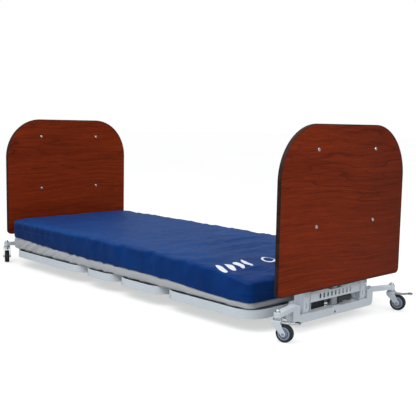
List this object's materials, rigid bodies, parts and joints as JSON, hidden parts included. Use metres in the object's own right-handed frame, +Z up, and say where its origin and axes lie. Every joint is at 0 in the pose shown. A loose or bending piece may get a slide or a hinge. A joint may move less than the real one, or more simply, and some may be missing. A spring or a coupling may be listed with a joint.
{
  "type": "adjustable hospital bed",
  "caption": "Floor-level adjustable hospital bed with telescopic mast lift ends, articulating deck, cherry laminate boards, mattress and locking swivel casters.",
  "frame": {"origin": "on the floor under the middle of the overall length and width at rest, on the centre line", "axes": "+X to the foot end along the bed, +Y to the patient's left, +Z up"},
  "size_m": [2.4212, 0.958, 0.903],
  "materials": {
    "frame_paint": "satin powder coat, light blue-grey",
    "bare_steel": "zinc-plated, satin",
    "chrome": "bright",
    "laminate": "cherry wood-grain laminate, satin",
    "edge_trim": "moulded T-edge, dark brown",
    "tyre": "rubber tread",
    "hub": "moulded, blue-grey",
    "motor": "moulded housing",
    "cover": "coated stretch fabric, royal blue, slight sheen"
  },
  "bodies": {
    "head_base": {"caster_stem_head_left": "chrome", "caster_stem_head_right": "chrome", "head_base_frame": "frame_paint", "head_inner_column_left": "bare_steel", "head_inner_column_right": "bare_steel", "head_lift_actuator_tube": "bare_steel", "head_lift_motor": "motor"},
    "deck": {"control_box": "motor", "deck_main_frame": "frame_paint", "foot_cross_plate": "frame_paint", "foot_lift_actuator_rod": "chrome", "foot_mast_sleeve_left": "frame_paint", "foot_mast_sleeve_right": "frame_paint", "foot_top_crossbar": "frame_paint", "footboard_edge_trim": "edge_trim", "footboard_mounting_frame": "bare_steel", "footboard_panel": "laminate", "head_cross_plate": "frame_paint", "head_lift_actuator_rod": "chrome", "head_mast_sleeve_left": "frame_paint", "head_mast_sleeve_right": "frame_paint", "head_top_crossbar": "frame_paint", "headboard_edge_trim": "edge_trim", "headboard_mounting_frame": "bare_steel", "headboard_panel": "laminate", "mattress_seat": "cover", "seat_section_frame": "frame_paint"},
    "foot_base": {"caster_stem_foot_left": "chrome", "caster_stem_foot_right": "chrome", "foot_base_frame": "frame_paint", "foot_inner_column_left": "bare_steel", "foot_inner_column_right": "bare_steel", "foot_lift_actuator_tube": "bare_steel", "foot_lift_motor": "motor"},
    "back_section": {"back_section_frame": "frame_paint", "mattress_back": "cover"},
    "thigh_section": {"mattress_thigh": "cover", "thigh_section_frame": "frame_paint"},
    "calf_section": {"calf_section_frame": "frame_paint", "mattress_calf": "cover"},
    "back_actuator": {"back_actuator_body": "motor"},
    "back_actuator_rod": {"back_actuator_rod": "chrome"},
    "knee_actuator": {"knee_actuator_body": "motor"},
    "knee_actuator_rod": {"knee_actuator_rod": "chrome"},
    "brake_pedal_foot_left": {"caster_brake_pedal_foot_left": "chrome"},
    "brake_pedal_foot_right": {"caster_brake_pedal_foot_right": "chrome"},
    "brake_pedal_head_left": {"caster_brake_pedal_head_left": "chrome"},
    "brake_pedal_head_right": {"caster_brake_pedal_head_right": "chrome"},
    "caster_fork_foot_left": {"caster_fork_foot_left": "frame_paint"},
    "caster_fork_foot_right": {"caster_fork_foot_right": "frame_paint"},
    "caster_fork_head_left": {"caster_fork_head_left": "frame_paint"},
    "caster_fork_head_right": {"caster_fork_head_right": "frame_paint"},
    "wheel_foot_left": {"caster_hub_foot_left": "hub", "caster_tyre_foot_left": "tyre"},
    "wheel_foot_right": {"caster_hub_foot_right": "hub", "caster_tyre_foot_right": "tyre"},
    "wheel_head_left": {"caster_hub_head_left": "hub", "caster_tyre_head_left": "tyre"},
    "wheel_head_right": {"caster_hub_head_right": "hub", "caster_tyre_head_right": "tyre"}
  },
  "joints": [
    {"name": "head_lift", "type": "slide", "parent": "head_base", "child": "deck", "axis": [0, 0, 1], "range_m": [0, 0.66]},
    {"name": "foot_lift", "type": "slide", "parent": "deck", "child": "foot_base", "axis": [0, 0, 1], "range_m": [-0.66, 0]},
    {"name": "back_raise", "type": "hinge", "parent": "deck", "child": "back_section", "pos_m": [-0.3005, 0, 0.092], "axis": [0, 1, 0], "range_deg": [0, 60]},
    {"name": "knee_raise", "type": "hinge", "parent": "deck", "child": "thigh_section", "pos_m": [0.005, 0, 0.092], "axis": [0, -1, 0], "range_deg": [0, 25]},
    {"name": "calf_drop", "type": "hinge", "parent": "thigh_section", "child": "calf_section", "pos_m": [0.3855, 0, 0.06], "axis": [0, 1, 0], "range_deg": [0, 41]},
    {"name": "back_actuator_pivot", "type": "hinge", "parent": "deck", "child": "back_actuator", "pos_m": [0.254, 0.105, 0.0564], "axis": [0, -1, 0], "range_deg": [0, 4]},
    {"name": "back_actuator_stroke", "type": "slide", "parent": "back_actuator", "child": "back_actuator_rod", "axis": [-1, 0, 0], "range_m": [0, 0.08]},
    {"name": "knee_actuator_pivot", "type": "hinge", "parent": "deck", "child": "knee_actuator", "pos_m": [-0.556, -0.105, 0.0564], "axis": [0, 1, 0], "range_deg": [0, 3]},
    {"name": "knee_actuator_stroke", "type": "slide", "parent": "knee_actuator", "child": "knee_actuator_rod", "axis": [1, 0, 0], "range_m": [0, 0.04]},
    {"name": "swivel_foot_right", "type": "hinge", "parent": "foot_base", "child": "caster_fork_foot_right", "pos_m": [1.108, -0.425, 0.09], "axis": [0, 0, 1], "continuous": true},
    {"name": "roll_foot_right", "type": "hinge", "parent": "caster_fork_foot_right", "child": "wheel_foot_right", "pos_m": [1.14181, -0.41594, 0.038], "axis": [-0.2588, 0.9659, 0], "continuous": true},
    {"name": "brake_foot_right", "type": "hinge", "parent": "caster_fork_foot_right", "child": "brake_pedal_foot_right", "pos_m": [1.12877, -0.41944, 0.0828], "axis": [-0.2588, 0.9659, 0], "range_deg": [0, 7]},
    {"name": "swivel_foot_left", "type": "hinge", "parent": "foot_base", "child": "caster_fork_foot_left", "pos_m": [1.108, 0.425, 0.09], "axis": [0, 0, 1], "continuous": true},
    {"name": "roll_foot_left", "type": "hinge", "parent": "caster_fork_foot_left", "child": "wheel_foot_left", "pos_m": [1.14181, 0.43406, 0.038], "axis": [-0.2588, 0.9659, 0], "continuous": true},
    {"name": "brake_foot_left", "type": "hinge", "parent": "caster_fork_foot_left", "child": "brake_pedal_foot_left", "pos_m": [1.12877, 0.43056, 0.0828], "axis": [-0.2588, 0.9659, 0], "range_deg": [0, 7]},
    {"name": "swivel_head_right", "type": "hinge", "parent": "head_base", "child": "caster_fork_head_right", "pos_m": [-1.18396, -0.42, 0.09], "axis": [0, 0, 1], "continuous": true},
    {"name": "roll_head_right", "type": "hinge", "parent": "caster_fork_head_right", "child": "wheel_head_right", "pos_m": [-1.15306, -0.43643, 0.038], "axis": [0.4695, 0.8829, 0], "continuous": true},
    {"name": "brake_head_right", "type": "hinge", "parent": "caster_fork_head_right", "child": "brake_pedal_head_right", "pos_m": [-1.16498, -0.43009, 0.0828], "axis": [0.4695, 0.8829, 0], "range_deg": [0, 7]},
    {"name": "swivel_head_left", "type": "hinge", "parent": "head_base", "child": "caster_fork_head_left", "pos_m": [-1.18396, 0.42, 0.09], "axis": [0, 0, 1], "continuous": true},
    {"name": "roll_head_left", "type": "hinge", "parent": "caster_fork_head_left", "child": "wheel_head_left", "pos_m": [-1.15306, 0.43643, 0.038], "axis": [-0.4695, 0.8829, 0], "continuous": true},
    {"name": "brake_head_left", "type": "hinge", "parent": "caster_fork_head_left", "child": "brake_pedal_head_left", "pos_m": [-1.16498, 0.43009, 0.0828], "axis": [-0.4695, 0.8829, 0], "range_deg": [0, 7]}
  ],
  "couplings": [
    {"joint": "foot_lift", "follows": "head_lift", "ratio": -1},
    {"joint": "calf_drop", "follows": "knee_raise", "ratio": 1.62},
    {"joint": "back_actuator_stroke", "follows": "back_raise", "m_per_rad": 0.05365},
    {"joint": "back_actuator_pivot", "follows": "back_raise", "ratio": 0.04306},
    {"joint": "knee_actuator_stroke", "follows": "knee_raise", "m_per_rad": 0.0456},
    {"joint": "knee_actuator_pivot", "follows": "knee_raise", "ratio": 0.07663}
  ]
}
